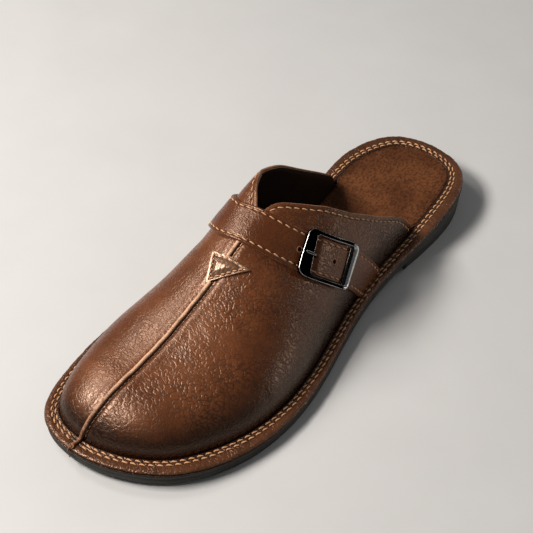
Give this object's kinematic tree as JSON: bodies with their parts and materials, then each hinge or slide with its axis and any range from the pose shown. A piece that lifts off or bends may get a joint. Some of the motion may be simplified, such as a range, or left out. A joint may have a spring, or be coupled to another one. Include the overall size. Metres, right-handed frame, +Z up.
{
  "type": "mule shoe",
  "caption": "Left leather mule with an open heel, centre seam, three-cornered patch, buckled instep strap, stitched welt and low block heel.",
  "frame": {"origin": "on the floor, under the middle of the sole's outline", "axes": "+Z up, toe toward -Y, heel toward +Y, outer side of the foot toward +X"},
  "size_m": [0.1126, 0.292, 0.0777],
  "materials": {
    "sole_rubber": "matt",
    "upper_leather": "waxed, grained",
    "welt_leather": "waxed, creased",
    "footbed_leather": "napped",
    "edge_leather": "cut edge",
    "dark_nickel": "polished, dark"
  },
  "bodies": {
    "root": {"outsole": "sole_rubber", "heel": "sole_rubber", "welt": "welt_leather", "insole": "footbed_leather", "upper": "upper_leather", "centre_seam": "edge_leather", "throat_seam": "edge_leather", "triangle_patch": "upper_leather", "strap": "upper_leather", "buckle_strap": "upper_leather", "buckle_frame": "dark_nickel", "buckle_prong": "dark_nickel"}
  },
  "joints": []
}
